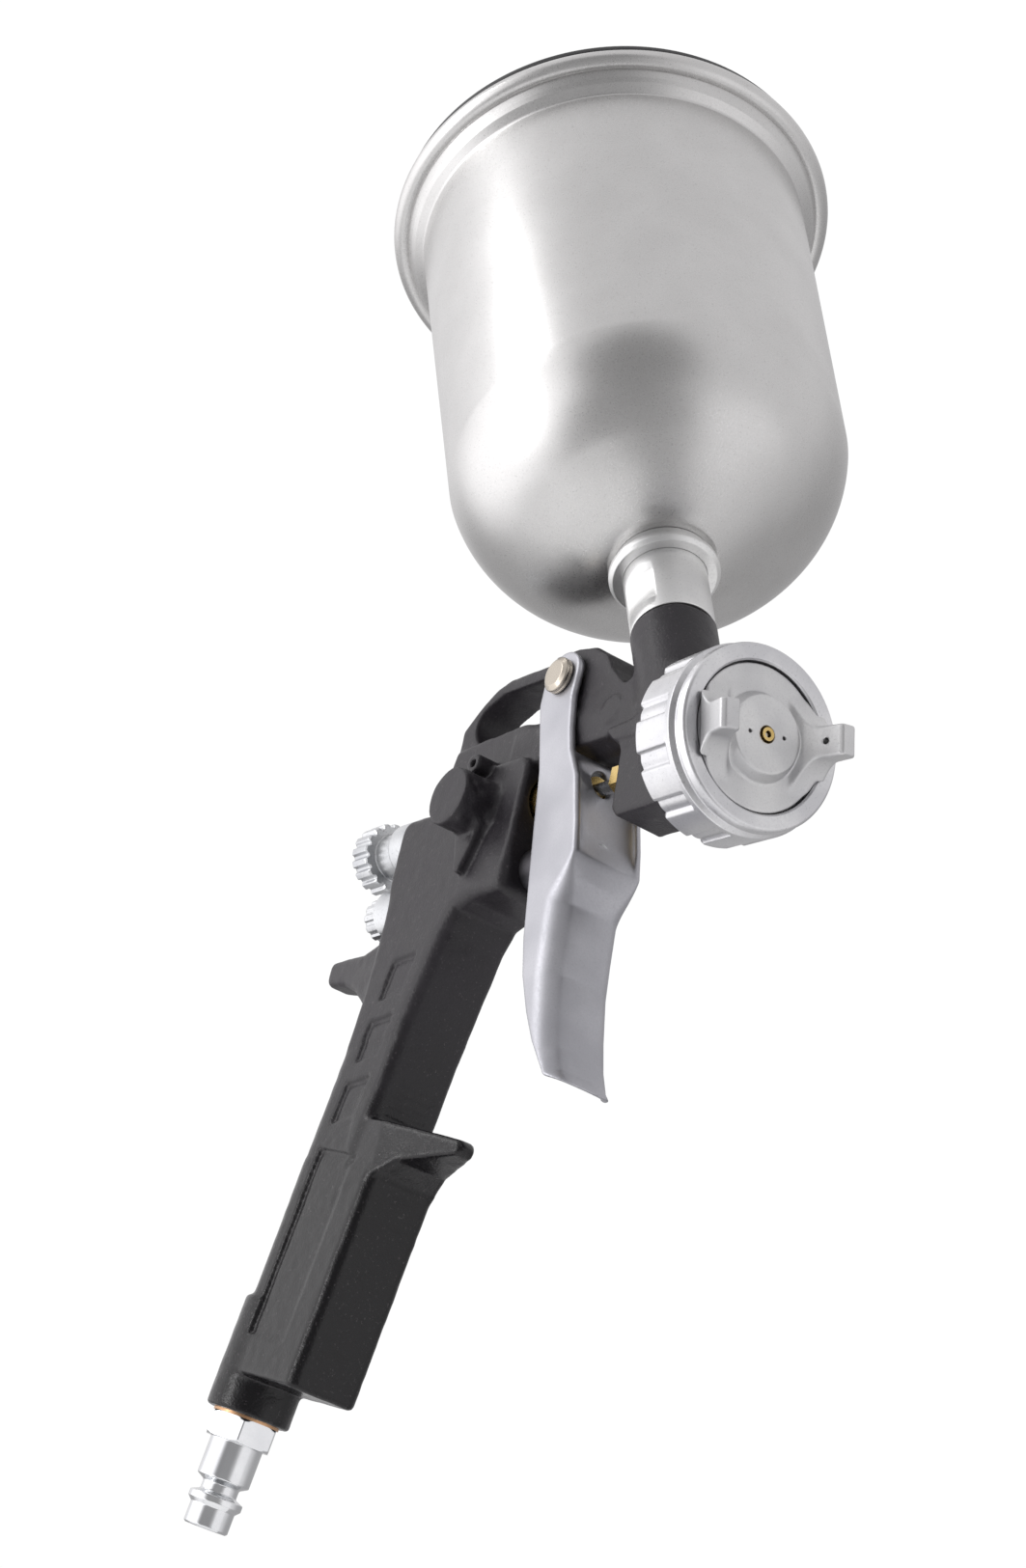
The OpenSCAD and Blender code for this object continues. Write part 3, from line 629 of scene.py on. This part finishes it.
def make_air_cap():
    """A disc with a boss and two horns, hollow behind."""
    f = Field((-4.8, -18, -18), (11.8, 18, 18), CAP_STEP)
    c, s = unit(HORN_TURN)
    z, y = f.y * c + f.z * s, -f.y * s + f.z * c             # turned so that the horns lie along z
    far, rad = np.abs(z), np.hypot(y, z)
    disc = f.rod_x(-2.2, 0, CAP_R, edge=0.25)
    boss_r = 9.7 - 0.45 * np.clip(f.x, 0, 4)
    boss = f.both(rad - boss_r, np.abs(f.x - 1) - 2, 0.2)
    line = [(7.2, -1), (8.9, 1.4), (11.4, 6.4), (12.9, 10.3), (13.5, 11.1), (16.5, 10.7), (17.3, 9.7),
            (16.6, 5), (15.7, -1)]
    blade = f.polygon(line, far, f.x + 0 * y)
    half = 3.35 + 7.5 * np.clip(1 - (f.x + 0.4) / 6.2, 0, 1) ** 2    # each horn widens towards its foot
    horn = f.both(blade, np.abs(y) - half, 0.5)
    rim = rad - CAP_R + 0.02
    foot = f.both(horn, np.where(f.x < 1.2, rim, rim - 3), 0)
    d = f.join(f.join(disc, boss, 0.4), foot, 1.2)
    d = np.where(f.x < 0.02, np.maximum(d, rad - CAP_R), d)
    d = f.soften(d, 1)
    d = f.join(d, f.rod_x(-4.2, -2.1, SPIGOT_R - 0.2))
    for end, r in ((5, CAP_HOLE_R), (0.6, 6.6), (-1.4, CAP_R - 1)):  # the centre hole, and hollows behind it
        d = f.cut(d, f.rod_x(-6, end, r))
    for side in (-1, 1):
        # a small hole in the boss, a passage up the horn, and the horn's slanted jet
        d = f.cut(d, f.both(np.hypot(y, z - side * 4.4) - 0.45, 1 - f.x))
        d = f.cut(d, f.both(np.hypot(y, z - side * 14) - 0.9, f.x - 6.4))
        tilt = (f.x - 6.6) + 0.21 * (side * z - JET_AT)
        d = f.cut(d, f.both(np.hypot(y, tilt) - 0.7, side * z - JET_AT - 0.2))
    return f.mesh("air_cap_casting", d)


dress(make_air_cap(), "cap_metal", "cap", "air_cap")


# ---- Trigger ----

TRIGGER_REAR = [(-72, 20), (-66.2, 3), (-63.1, -11.4), (-59.5, -27), (-57, -38), (-54, -47), (-49.4, -56),
                (-45, -63), (-38.8, -71.5)]
TRIGGER_FRONT = [(-59.6, 20), (-57.6, 12), (-55.6, 6.5), (-51.2, -0.4), (-46.8, -12.7), (-44.9, -19.5),
                 (-45.4, -25), (-46.4, -30.5), (-45.4, -39), (-44.2, -47), (-41.4, -57), (-39, -64),
                 (-36.2, -69.5), (-32.6, -73.2)]


def make_trigger():
    """A pressing: a sheet-thick skin behind the front outline, trimmed to the whole outline."""
    f = Field((-74, -10, -75), (-31, 10, 34), SHEET_STEP)
    head = arc(PIVOT[0] - 0.4, PIVOT[1], 6.3, 10, 170, 14)
    outline = f.polygon(head + TRIGGER_REAR + TRIGGER_FRONT[::-1], f.x, f.z)
    # the front alone, with the rear edge far away
    above = TRIGGER_FRONT[0][0], 40
    around = [(-110, -90), (-110, 40), above] + TRIGGER_FRONT + [(-31.6, -74.2), (-31.6, -90)]
    front = f.polygon(around, f.x, f.z)
    side = np.abs(f.y) - TRIGGER_W
    upper = smoothstep(-21, -13, f.z)                        # 1 on the upper web
    pad = 1 - smoothstep(-30, -19, f.z)                      # 1 on the finger pad
    across = np.clip(1 - (f.y / 7.4) ** 2, 0, 1)
    dish = 2.5 * upper * (1 - smoothstep(2, 6, f.z)) * np.sqrt(across)
    bow = 1.2 * pad * (f.y / TRIGGER_W) ** 2
    round_r = 0.9 + 3.3 * pad
    skin = f.both(front + dish + bow, side, round_r)
    shell = np.maximum(skin, -(skin + SHEET))
    web_top = 6.0                                            # only the two arms go on above this
    arms_only = np.where(f.z > web_top, TRIGGER_W - SHEET - 0.3 - np.abs(f.y), -1)
    d = f.both(shell, outline, 0.3)
    d = np.maximum(d, np.minimum(arms_only, f.z - web_top))
    # the needle's slot through the web
    d = f.cut(d, f.both(np.abs(f.y) - 2, np.abs(f.z - 1.15) - 3.2, 1.9) + np.where(f.x > -60, 0, 20))
    d = f.soften(d, 1)
    d = f.cut(d, f.rod_y(-20, 20, PIN_R + 0.1, *PIVOT))
    return f.mesh("trigger_pressing", d)


dress(make_trigger(), "trigger_metal", "trigger", "trigger")


# ---- Body casting ----

def grip_coords(f):
    """Places across and along the grip, as on_grip has them."""
    c, s = unit(GRIP_LEAN)
    dx = f.x - GRIP_X
    return dx * c - f.z * s, -dx * s - f.z * c


def grip_part(f, u, l, x0, x1, l0, l1, w, rb, rf):
    """A length of the grip, with its back rounded at rb and its front corners at rf."""
    mid, half = (x0 + x1) / 2, (x1 - x0) / 2
    r = np.where(u > mid, rf, rb)
    qx, qy = np.abs(u - mid) - half + r, np.abs(f.y) - w + r
    section = np.minimum(np.maximum(qx, qy), 0) + np.hypot(np.maximum(qx, 0), np.maximum(qy, 0)) - r
    return f.both(section, np.abs(l - (l0 + l1) / 2) - (l1 - l0) / 2, 1.2)


def tongue(f, points, root, tip, w, tip_r, edge):
    """A plate with the side outline points, w to each side at its root and narrowing to a round tip."""
    d = 1 if tip > root else -1
    plan = [(root - d * 14, -w), (root, -w), (tip - d * tip_r, -tip_r)]
    plan += [(tip - d * tip_r + d * tip_r * math.cos(a), tip_r * math.sin(a))
             for a in np.linspace(-math.pi / 2, math.pi / 2, 11)] + [(root, w), (root - d * 14, w)]
    return f.both(f.polygon(points, f.x, f.z), f.polygon(plan, f.x, f.y), edge)


def flank_panels(f, u, l):
    """Depth of the panels on both flanks: three windows in a row and a long one below them. Each is
    deepest along its top and rear edges, which meet at its corner."""
    windows = [((5.1 - 0.3 * k, 33.5 + 14.3 * k), (8.0, -2.5), (-0.2 * k, 9.3)) for k in range(3)]
    windows.append(((3.8, 77.1), (15.2, 0.1), (-0.3, 42.6)))
    sunk = 0
    for (cu, cl), (tu, tl), (ru, rl) in windows:
        corners = [(cu, cl), (cu + tu, cl + tl), (cu + tu + ru, cl + tl + rl), (cu + ru, cl + rl)]
        inside = f.polygon(corners, u, l)
        from_top = np.abs((u - cu) * tl - (l - cl) * tu) / math.hypot(tu, tl)
        from_rear = np.abs((u - cu) * rl - (l - cl) * ru) / math.hypot(ru, rl)
        edge = np.minimum(from_top, from_rear)
        sunk = sunk + smoothstep(0.12, -0.12, inside) * (0.4 + 0.6 * smoothstep(2.2, 0, edge))
    return sunk * smoothstep(FLANK - 2.2, FLANK - 1.4, np.abs(f.y))


def make_body():
    f = Field((-147, -19.5, -137), (-3, 11, 37), BODY_STEP)
    u, l = grip_coords(f)
    # block behind the trigger, and its hump
    block_line = arc(-75.5, 5, 4, 90, 0, 6) + arc(-74, -20.5, 2.5, 0, -90, 6)
    block_line += [(-83, -23), (-87.6, -24.6), (-90.4, -29.4), (-92.8, -37), (-96, -46), (-98.4, -54),
                   (-119.6, -54), (-117.4, -40), (-116.8, -28)]
    block_line += arc(-113.8, -1.4, 3, 180, 90, 6) + [(-104, 1.6), (-98, 9)]
    block_r = 1.3 + 1.6 * smoothstep(-12, -20, f.z)
    d = f.plate(block_line, FLANK, block_r)
    top = f.plate([(-72, 2), (-72, 13), (-80, 20), (-106, 18), (-108, 8), (-108, -2)], 6.6, 1.5)
    d = f.join(d, top, 1)
    # hanging loop and pivot ear
    loop = [(-107, -2), (-108, 14), (-108, 24), (-102.5, 29.2), (-97.5, 32.4), (-92.7, 33.7), (-62, 33.7),
            (-60, 10)]
    hole = arc(-97.6, 23.8, 5, 245, 110, 8)
    hole += [(-94.5, 30.3), (-77, 30.3), (-73.6, 27), (-76, 19), (-92, 18.4)]
    strap = f.plate(loop, STRAP, 1.2)
    ear_line = [(-73, 8), (-46, 8), (-40, 4), (-24, 4), (-24, 20.6), (-44.5, 20.6), (-50.2, 25.4),
                (-53.2, 29.4), (-59, 32.6), (-66, 33.7), (-74, 33.7)]
    ear = f.join(f.plate(ear_line, EAR, 0.9), f.rod_x(-82, -24, 7, 13.6), 1.2)
    d = f.join(d, f.join(strap, ear, 0.8), 1.2)
    d = f.cut(d, f.plate(hole, 12, 0), 0.5)
    # head, with the ledge and the round mark on its sides, spigot and cup's neck
    head = f.plate([(-41, 7), (-39, -10.4), (-37, -12.4), (-17, -12.4), (-17, 12), (-30, 15)], HEAD, 0.7)
    ledge = [(-46.5, 9.2), (-33, 10), (-24, 10), (-24, 5), (-33, 5.4), (-42.2, 5.8)]
    ledge = f.plate(ledge, HEAD + 1.2, 0.5)
    mark = f.rod_y(-HEAD - 1, HEAD + 1, 3.4, -46.4, 14.4, 0.4)
    d = f.join(f.join(f.join(d, head, 1.2), ledge, 0.5), mark, 0.5)
    spigot = f.rod_x(-18.5, -4.5, SPIGOT_R, edge=0.4)
    d = f.join(d, spigot, 1)
    neck = f.rod(on_cup(0, 0, 4), on_cup(0, 0, BODY_NECK_L), NECK_R + 0.2, 0.4)
    d = f.join(d, neck, 2.5)
    # grip, with the finger rest and the thumb hook
    w = FLANK - 0.2
    upper = grip_part(f, u, l, -5.6, 18.6, 28, 90, w, 7, 2.6)
    lower = grip_part(f, u, l, -5.9, 28.4, 79, 128.5, w, 7, 2.6)
    boss = f.both(np.hypot(u, f.y) - 9.4, np.abs(l - 124) - 12.5, 0.8)
    grip = f.join(f.join(upper, lower, FLUSH), boss, 0.8)
    rest_line = [(-108, -69.5), (-84, -75.4), (-74.5, -77.8), (-72.9, -79.8), (-75, -81.2), (-90, -82),
                 (-96, -85), (-108, -88)]
    rest = tongue(f, rest_line, -96, -72.9, 8.4, 2.4, 0.9)
    hook = [(-112, -25.5), (-126, -27)] + arc(-142, -28, 3, 80, 265, 8)
    hook += [(-134, -32.6), (-127, -36), (-119.5, -41.5), (-112, -44)]
    thumb = tongue(f, hook, -118, -145, 7, 3.6, 1.4)
    d = f.join(d, grip, FLUSH)
    d = f.join(f.join(d, rest, 1.2), thumb, 2)
    # blanked side boss, with its ragged root, rib and small cored boss
    stub = f.rod_y(-18, -7, 6.8, *BOSS, 0.15)
    ragged = smoothstep(-17.4, -15.5, f.y) * smoothstep(-2, 4, f.x - BOSS[0] - 0.5 * (f.z - BOSS[1]))
    stub = stub + 0.55 * ragged * f.noise(1.6, 7)
    rib = f.plate([(-91, -6), (-81, -6), (-83.2, -12), (-86, -17.6), (-87.6, -17.2)], 2.9, 0.5, -8.6)
    cored = f.rod_y(-13, -6, 2.3, *CORED, 0.4)
    d = f.join(f.join(f.join(d, stub, 1.6), rib, 0.8), cored, 0.7)
    d = f.cut(d, f.rod_y(-20, -11, 0.9, *CORED))
    d = d + flank_panels(f, u, l)
    # rows of faint ribs on the grip's front, above the finger rest
    front = smoothstep(17, 18.2, u) * smoothstep(21, 20, u) * (np.abs(f.y) < 5)
    ribs = 0.5 + 0.5 * np.cos(2 * math.pi * l / 2.1)
    d = d + 0.22 * front * ribs * smoothstep(57, 59, l) * smoothstep(75, 73, l)
    d = d - 0.07 * f.noise(2.0, 3)
    d = f.soften(d, 1)
    grip_bores = [(INLET_L - 12, INLET_L + 2, 5.6), (13, INLET_L - 20, 3.2)]     # inlet, air channel
    cup_bores = [(22, 60, thread_r + GAP), (0, 30, 4.2)]                         # neck's thread, paint way
    valve_bores = [(-130, -82, 5.4), (-83, -69.5, 4.25)]                         # chamber, guide
    # on the spray axis: paint way, nozzle, its nut, needle, packing and knob's bush
    needle_bores = [(-36, 0, 3.4), (-13, 0, 5.6), (-43, -33, 4.1), (-140, -68.5, 2.4), (-81, -68.5, 6.2),
                    (-130, -98, 5.6)]
    cuts = [f.rod(on_grip(0, 0, a), on_grip(0, 0, b), r) for a, b, r in grip_bores]
    cuts += [f.rod(on_cup(0, 0, a), on_cup(0, 0, b), r) for a, b, r in cup_bores]
    cuts += [f.rod_x(a, b, r, VALVE_Z) for a, b, r in valve_bores]
    cuts += [f.rod_x(a, b, r) for a, b, r in needle_bores]
    cuts.append(f.cut(f.rod_x(-14, 0, 12.8), f.rod_x(-15, -8.6, 8)))             # the air's ring chamber
    cuts.append(f.rod_y(-20, 20, PIN_R + GAP, *PIVOT))
    for c in cuts:
        d = f.cut(d, c)
    return f.mesh("body_casting", d)


dress(make_body(), "body_paint", "gun", "gun_body")


# ---- Plug, knobs, pin ----

def hexed(r, h, angle):
    """A hexagon with its corners chamfered, where the profile is wide enough."""
    a = (angle + math.pi / 6) % (math.pi / 3) - math.pi / 6
    flat = HEX_AF / 2 / np.cos(a)
    return np.where(r > 6.6, np.minimum(r, flat), r)


corner = HEX_AF / math.sqrt(3)
plug_line = [(3.3, -9, 0.2), (5.55, -9, 0.4), (5.55, 0.6, 0.2), (7.4, 0.6, 0.3), (corner, 1.2, 0.1),
             (corner, 5.4, 0.1), (7.3, 6, 0.3), (5.9, 6, 0.3), (5.9, 14.4, 0.5), (4.1, 15.4, 0.6),
             (4.1, 17.4, 0.5), (6, 18.2, 0.35), (6, 19.6, 0.35), (PLUG_R, 20.6, 0.4), (PLUG_R, 24.9, 0.3),
             (4.6, 25.3, 0.2), (3.3, 25.3, 0.2)]
plug_line = [(r, INLET_L + h, f) for r, h, f in plug_line]
dress(turned("inlet_plug", plug_line, on_grip, hexed), "plug_chrome", "gun", "air_plug")


def knurled(teeth, deep, above):
    """Grooves cut in where the profile is wider than above."""
    def shape(r, h, angle):
        groove = smoothstep(0.35, 0.95, np.cos(teeth * angle) * 0.5 + 0.5) * deep
        return np.where(r > above, r - groove, r)
    return shape


knob_line = [(1.4, -139.2, 0.1), (6.3, -139.2, 0.2), (6.6, -138.9, 0.2), (8, -138, 0.3), (8, -133, 0.3),
             (7.6, -132.4, 0.2), (5.4, -132.4, 0.3), (5.4, -126.3, 0.4), (4.2, -126.3, 0.1),
             (4.2, -125.1, 0.1), (1.4, -125.1, 0.1)]
knob = turned("fluid_knob_turned", knob_line, on_x(), knurled(17, 0.75, 6.9), TURN_STEPS * 2)
dress(knob, "knob_metal", "knob", "fluid_knob")

air_line = [(0, -132.4, 0), (3.6, -132.4, 1.2), (5, -131.2, 0.6), (5, -126.3, 0.3), (3.35, -126.3, 0.1),
            (3.35, -121, 0.2), (0, -121, 0)]
knob = turned("air_knob_turned", air_line, on_x(VALVE_Z), knurled(12, 0.4, 4.6), TURN_STEPS * 2)
dress(knob, "knob_metal", "air_knob", "air_knob")

bush_line = [(4.3, -126, 0.2), (6.4, -126, 0.4), (6.4, -116.9, 0.3), (5.55, -116.9, 0.1), (5.55, -108, 0.3),
             (4.3, -108, 0.2)]
dress(turned("knob_bush_turned", bush_line, on_x()), "knob_metal", "gun", "knob_bush")

pin_line = [(0, 11.5, 0), (3.0, 11.45, 0.6), (HEAD_R, 10.7, 0.5), (HEAD_R, 10.05, 0.1),
            (HEAD_R - 0.2, 9.9, 0.1), (HEAD_R, 9.7, 0.1), (HEAD_R, 9.3, 0.2), (PIN_R, 9.3, 0.1),
            (PIN_R, -8.8, 0.2), (1.65, -8.8, 0.1), (1.65, -2, 0.1), (0, -2, 0)]
dress(turned("pin_turned", pin_line, on_pivot), "pin_metal", "gun", "trigger_pin")

# ---- Floor, light, camera ----

FLOOR_Z, FLOOR_SIZE = -1.3, 1.7


def make_floor():
    n = 20
    at = (np.arange(n + 1) / n - 0.5) * FLOOR_SIZE / MM
    gx, gy = np.meshgrid(at, at, indexing="ij")
    verts = np.stack([gx, gy, np.full_like(gx, FLOOR_Z / MM)], -1).reshape(-1, 3)
    i, j = np.meshgrid(np.arange(n), np.arange(n), indexing="ij")
    here, across = i * (n + 1) + j, n + 1
    quad = np.stack([here, here + across, here + across + 1, here + 1], -1)
    floor = mesh_from("floor", verts, quad.reshape(-1, 4))
    mat, nt, bsdf = principled("floor_matt")
    bsdf.inputs["Base Color"].default_value = (0.86, 0.86, 0.86, 1)
    bsdf.inputs["Roughness"].default_value = 0.9
    bsdf.inputs["Emission Color"].default_value = (1, 1, 1, 1)
    bsdf.inputs["Emission Strength"].default_value = 0.3
    floor.data.materials.append(mat)


make_floor()


# A studio of soft panels all round, each (azimuth, elevation, full inside, gone outside, brightness) in
# degrees; azimuth 0 is along +X and 90 along +Y. Later panels cover earlier ones.
ROOM = 0.80
PANELS = [
    (110, -12, 22, 60, 0.45),
    (165, -24, 14, 40, 0.45),
    (-146, 28, 24, 50, 1.0),
    (22, -18, 12, 30, 1.05),
    (-118, -14, 26, 56, 1.6),
    (-45, 12, 20, 40, 0.32),
    (-38, -30, 22, 42, 0.36),
    (-32, -48, 16, 34, 0.40),
]


def make_world():
    """Lights the scene from the panels and shows plain white behind it."""
    world = bpy.data.worlds.new("studio")
    bpy.context.scene.world = world
    world.use_nodes = True
    nt = world.node_tree
    back = nt.nodes["Background"]
    co = nt.nodes.new("ShaderNodeTexCoord")
    level = None
    for az, el, full, gone, bright in PANELS:
        (ca, sa), (ce, se) = unit(az), unit(el)
        dot = node(nt, "ShaderNodeVectorMath", operation="DOT_PRODUCT")
        nt.links.new(co.outputs["Generated"], dot.inputs[0])
        dot.inputs[1].default_value = (ca * ce, sa * ce, se)
        fade = node(nt, "ShaderNodeMapRange", interpolation_type="SMOOTHSTEP")
        fade.inputs["From Min"].default_value = unit(gone)[0]
        fade.inputs["From Max"].default_value = unit(full)[0]
        nt.links.new(dot.outputs["Value"], fade.inputs["Value"])
        m = node(nt, "ShaderNodeMix")
        nt.links.new(fade.outputs["Result"], m.inputs[0])
        m.inputs[2].default_value, m.inputs[3].default_value = ROOM, bright
        if level is not None:
            nt.links.new(level, m.inputs[2])
        level = m.outputs[0]
    nt.links.new(level, back.inputs["Strength"])
    back.inputs["Color"].default_value = (1.0, 0.99, 1.0, 1)
    white = node(nt, "ShaderNodeBackground", Strength=1.02)
    white.inputs["Color"].default_value = (1, 1, 1, 1)
    pick, path = nt.nodes.new("ShaderNodeMixShader"), nt.nodes.new("ShaderNodeLightPath")
    nt.links.new(path.outputs["Is Camera Ray"], pick.inputs[0])
    nt.links.new(back.outputs[0], pick.inputs[1])
    nt.links.new(white.outputs[0], pick.inputs[2])
    nt.links.new(pick.outputs[0], nt.nodes["World Output"].inputs["Surface"])


make_world()


def soft_box(name, at, target, width, height, power):
    """A rectangular lamp in metres and watts, turned to face target."""
    data = bpy.data.lights.new(name, "AREA")
    data.shape = "RECTANGLE"
    data.energy, data.size, data.size_y = power, width, height
    lamp = bpy.data.objects.new(name, data)
    lamp.location = at
    lamp.rotation_mode = "QUATERNION"
    lamp.rotation_quaternion = (Vector(target) - Vector(at)).to_track_quat("-Z", "Y")
    bpy.context.scene.collection.objects.link(lamp)


soft_box("key", (-0.5, -0.9, 0.55), (-0.07, 0.0, 0.0), 0.35, 0.35, 1.4)
soft_box("strip", (-0.31, -0.97, -0.19), (-0.07, 0.0, -0.05), 0.10, 0.60, 1.7)


# The camera is below and in front of the gun, on its right. It looks along an azimuth and an elevation in
# degrees, and is rolled about that line.
CAM_AT, CAM_AZ, CAM_EL, CAM_ROLL, CAM_LENS = (0.7716, -0.5202, -0.4058), 148.88, 22.41, 13.37, 114.06


def make_camera():
    data = bpy.data.cameras.new("camera")
    data.lens = CAM_LENS
    data.clip_start, data.clip_end = 0.05, 50
    cam = bpy.data.objects.new("camera", data)
    turns = (CAM_AZ - 90, "Z"), (CAM_EL + 90, "X"), (CAM_ROLL, "Z")
    pan, tilt, roll = (Matrix.Rotation(math.radians(angle), 4, axis) for angle, axis in turns)
    cam.matrix_world = Matrix.Translation(CAM_AT) @ pan @ tilt @ roll
    bpy.context.scene.collection.objects.link(cam)
    bpy.context.scene.camera = cam


make_camera()
bpy.context.scene.view_settings.view_transform = "Standard"
